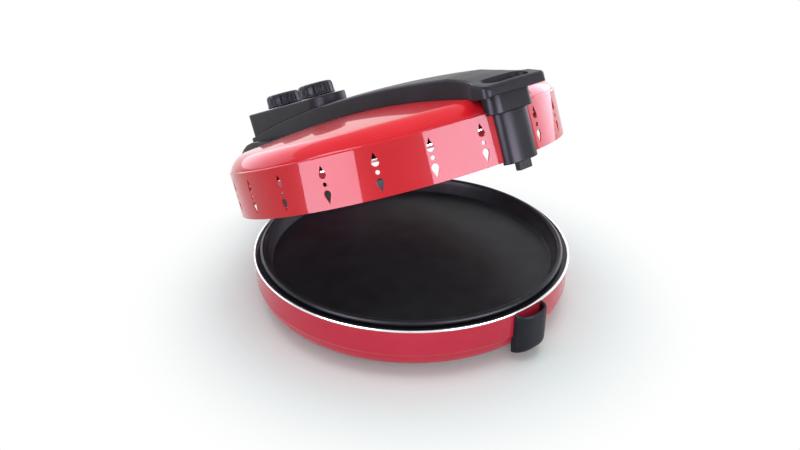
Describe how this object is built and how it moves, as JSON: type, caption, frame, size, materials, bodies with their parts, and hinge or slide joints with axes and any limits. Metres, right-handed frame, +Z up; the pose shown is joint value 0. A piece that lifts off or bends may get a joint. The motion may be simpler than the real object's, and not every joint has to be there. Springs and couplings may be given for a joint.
{
  "type": "electric pizza maker",
  "caption": "Round countertop pizza cooker: red base and vented, hinged lid, lift-out black pan, black strap handle with two dials at the rear.",
  "frame": {"origin": "centre of the round base on the worktop, in the plane of the feet", "axes": "+Z up, -Y towards the handle and the user, +Y towards the hinge, +X to the right seen from the front"},
  "size_m": [0.347, 0.474, 0.2701],
  "materials": {
    "red_enamel": "glossy",
    "black_plastic": "satin",
    "dial_black": "satin",
    "plug_grey": "satin",
    "trim_chrome": "polished",
    "deck_black": "satin",
    "pan_black": "non-stick satin",
    "black_rubber": "matte",
    "bright_sheet": "bright",
    "plain_steel": "plain",
    "element_steel": "heat darkened",
    "screw_steel": "plain",
    "white_ceramic": "matte",
    "lead_sleeve": "braided",
    "bell_brass": "plain"
  },
  "bodies": {
    "base": {"base_shell": "red_enamel", "trim_ring": "trim_chrome", "base_deck": "deck_black", "lower_reflector": "bright_sheet", "lower_heating_element": "element_steel", "lower_element_clips": "plain_steel", "lower_terminals": "white_ceramic", "base_terminal_block": "white_ceramic", "bottom_plate": "plain_steel", "feet": "black_rubber", "foot_screws": "screw_steel", "reflector_screws": "screw_steel", "supply_lead": "lead_sleeve", "front_cup": "black_plastic", "cup_screws": "screw_steel", "hinge_bracket": "black_plastic", "bracket_screws": "screw_steel", "hinge_pin": "screw_steel", "pin_clip": "screw_steel", "hinge_lead_sleeve": "lead_sleeve", "cord_gland": "black_rubber"},
    "pan": {"bake_pan": "pan_black"},
    "lid": {"lid_band": "red_enamel", "lid_dome": "red_enamel", "lid_liner": "bright_sheet", "upper_heating_element": "element_steel", "upper_element_clips": "plain_steel", "upper_terminals": "white_ceramic", "lid_leads": "lead_sleeve", "handle_beam": "black_plastic", "handle_collar": "black_plastic", "front_leg": "black_plastic", "latch_plug": "plug_grey", "leg_screws": "screw_steel", "hinge_arm": "black_plastic", "arm_screws": "screw_steel", "beam_screws": "screw_steel", "control_housing": "black_plastic", "housing_screws": "screw_steel", "timer_unit": "plain_steel", "timer_bell": "bell_brass", "thermostat_unit": "plain_steel"},
    "timer_dial": {"timer_knob": "dial_black", "timer_shaft": "screw_steel"},
    "temperature_dial": {"temperature_knob": "dial_black", "temperature_shaft": "screw_steel"}
  },
  "joints": [
    {"name": "lid_hinge", "type": "hinge", "parent": "base", "child": "lid", "pos_m": [0, 0.201, 0.054], "axis": [-1, 0, 0], "range_deg": [-22.5, 47.5]},
    {"name": "pan_lift", "type": "slide", "parent": "base", "child": "pan", "axis": [0, 0, 1], "range_m": [0, 0.025]},
    {"name": "timer_turn", "type": "hinge", "parent": "lid", "child": "timer_dial", "pos_m": [0, 0.23863, 0.15531], "axis": [0, -0.3827, -0.9239], "range_deg": [0, 300]},
    {"name": "temperature_turn", "type": "hinge", "parent": "lid", "child": "temperature_dial", "pos_m": [0, 0.1675, 0.18478], "axis": [0, -0.3827, -0.9239], "range_deg": [0, 270]}
  ]
}
